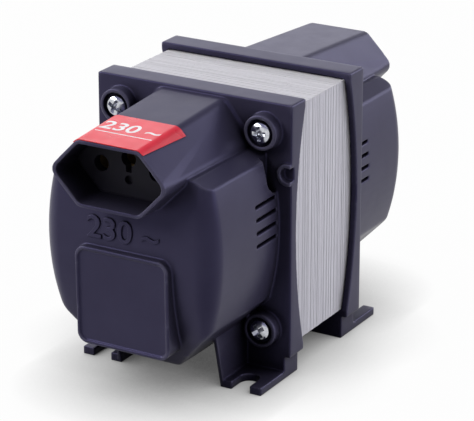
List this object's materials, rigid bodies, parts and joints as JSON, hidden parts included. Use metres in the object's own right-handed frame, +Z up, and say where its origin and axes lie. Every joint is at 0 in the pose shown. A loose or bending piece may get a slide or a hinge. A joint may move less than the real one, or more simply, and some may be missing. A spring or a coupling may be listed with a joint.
{
  "type": "voltage converter",
  "caption": "Portable two-voltage autotransformer: laminated core clamped by corner bolts between moulded end caps, each with a hexagonal socket nose and slotted feet.",
  "frame": {"origin": "on the floor under the middle of the core", "axes": "+Y towards the rear socket, -Y towards the front socket, +X to the right seen from the front, +Z up"},
  "size_m": [0.0684, 0.14, 0.0885],
  "materials": {
    "cap_plastic": "satin moulded black plastic with a faint violet cast",
    "core_steel": "edges of stacked silicon steel sheets",
    "zinc": "bright zinc plating",
    "sticker": "glossy red film",
    "bobbin_plastic": "natural nylon",
    "enamelled_copper": "enamelled copper wire, drawn as a solid band",
    "insulating_paper": "varnished paper",
    "cutout_plastic": "dark moulded case",
    "contact_brass": "bare brass",
    "line_lead": "insulated wire",
    "neutral_lead": "insulated wire",
    "earth_lead": "insulated wire"
  },
  "bodies": {
    "root": {"front_cap": "cap_plastic", "rear_cap": "cap_plastic", "e_laminations": "core_steel", "i_laminations": "core_steel", "bobbin": "bobbin_plastic", "common_winding": "enamelled_copper", "winding_barrier": "insulating_paper", "series_winding": "enamelled_copper", "outer_wrap": "insulating_paper", "thermal_cutout": "cutout_plastic", "front_socket_insert": "cap_plastic", "front_line_contact": "contact_brass", "front_neutral_contact": "contact_brass", "front_earth_contact": "contact_brass", "front_contact_carrier": "bobbin_plastic", "front_carrier_screws": "zinc", "rear_socket_insert": "cap_plastic", "rear_line_contact": "contact_brass", "rear_neutral_contact": "contact_brass", "rear_earth_contact": "contact_brass", "rear_contact_carrier": "bobbin_plastic", "rear_carrier_screws": "zinc", "front_line_lead": "line_lead", "rear_line_lead": "line_lead", "neutral_lead": "neutral_lead", "earth_lead": "earth_lead", "through_bolts": "zinc", "bolt_washers": "zinc", "bolt_nuts": "zinc", "front_sticker": "sticker"}
  },
  "joints": []
}
